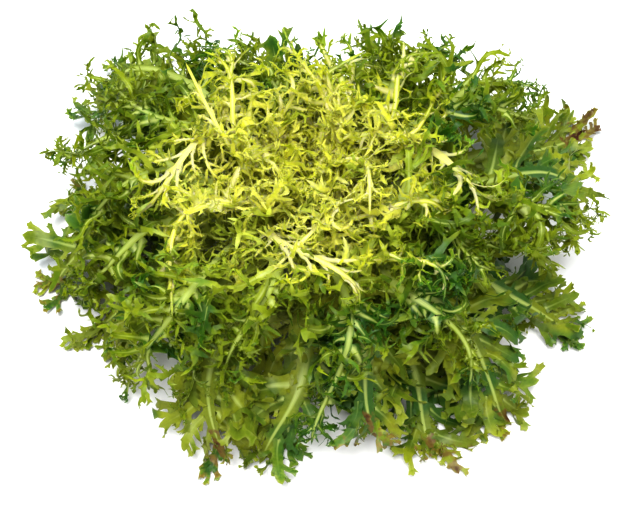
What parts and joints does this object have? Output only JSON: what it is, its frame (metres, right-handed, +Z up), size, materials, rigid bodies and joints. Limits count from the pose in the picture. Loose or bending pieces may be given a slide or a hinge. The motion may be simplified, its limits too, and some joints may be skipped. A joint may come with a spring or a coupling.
{
  "type": "curly endive head",
  "caption": "Wide, low head of curly endive: finely cut frilled leaves in a spiral rosette round a short cut stem, pale yellow at the heart and green outside.",
  "frame": {"origin": "centre of the stem's flat cut face, on the surface that the head stands on", "axes": "+Z up through the heart; +X along the head's widest spread, to the right seen from the front; -Y is the front, the side the reference view looks down on"},
  "size_m": [0.3506, 0.2929, 0.1205],
  "materials": {
    "stem": "matte",
    "outer_leaf": "satin",
    "middle_leaf": "satin",
    "inner_leaf": "satin",
    "heart": "satin"
  },
  "bodies": {
    "root": {"stem": "stem", "outer_leaf_01": "outer_leaf", "outer_leaf_02": "outer_leaf", "outer_leaf_03": "outer_leaf", "outer_leaf_04": "outer_leaf", "outer_leaf_05": "outer_leaf", "outer_leaf_06": "outer_leaf", "outer_leaf_07": "outer_leaf", "outer_leaf_08": "outer_leaf", "outer_leaf_09": "outer_leaf", "outer_leaf_10": "outer_leaf", "outer_leaf_11": "outer_leaf", "outer_leaf_12": "outer_leaf", "outer_leaf_13": "outer_leaf", "outer_leaf_14": "outer_leaf", "outer_leaf_15": "outer_leaf", "outer_leaf_16": "outer_leaf", "middle_leaf_01": "middle_leaf", "middle_leaf_02": "middle_leaf", "middle_leaf_03": "middle_leaf", "middle_leaf_04": "middle_leaf", "middle_leaf_05": "middle_leaf", "middle_leaf_06": "middle_leaf", "middle_leaf_07": "middle_leaf", "middle_leaf_08": "middle_leaf", "middle_leaf_09": "middle_leaf", "middle_leaf_10": "middle_leaf", "middle_leaf_11": "middle_leaf", "middle_leaf_12": "middle_leaf", "middle_leaf_13": "middle_leaf", "middle_leaf_14": "middle_leaf", "middle_leaf_15": "middle_leaf", "middle_leaf_16": "middle_leaf", "middle_leaf_17": "middle_leaf", "middle_leaf_18": "middle_leaf", "middle_leaf_19": "middle_leaf", "middle_leaf_20": "middle_leaf", "inner_leaf_01": "inner_leaf", "inner_leaf_02": "inner_leaf", "inner_leaf_03": "inner_leaf", "inner_leaf_04": "inner_leaf", "inner_leaf_05": "inner_leaf", "inner_leaf_06": "inner_leaf", "inner_leaf_07": "inner_leaf", "inner_leaf_08": "inner_leaf", "inner_leaf_09": "inner_leaf", "inner_leaf_10": "inner_leaf", "inner_leaf_11": "inner_leaf", "inner_leaf_12": "inner_leaf", "inner_leaf_13": "inner_leaf", "inner_leaf_14": "inner_leaf", "inner_leaf_15": "inner_leaf", "inner_leaf_16": "inner_leaf", "inner_leaf_17": "inner_leaf", "inner_leaf_18": "inner_leaf", "inner_leaf_19": "inner_leaf", "inner_leaf_20": "inner_leaf", "inner_leaf_21": "inner_leaf", "inner_leaf_22": "inner_leaf", "heart": "heart"}
  },
  "joints": []
}
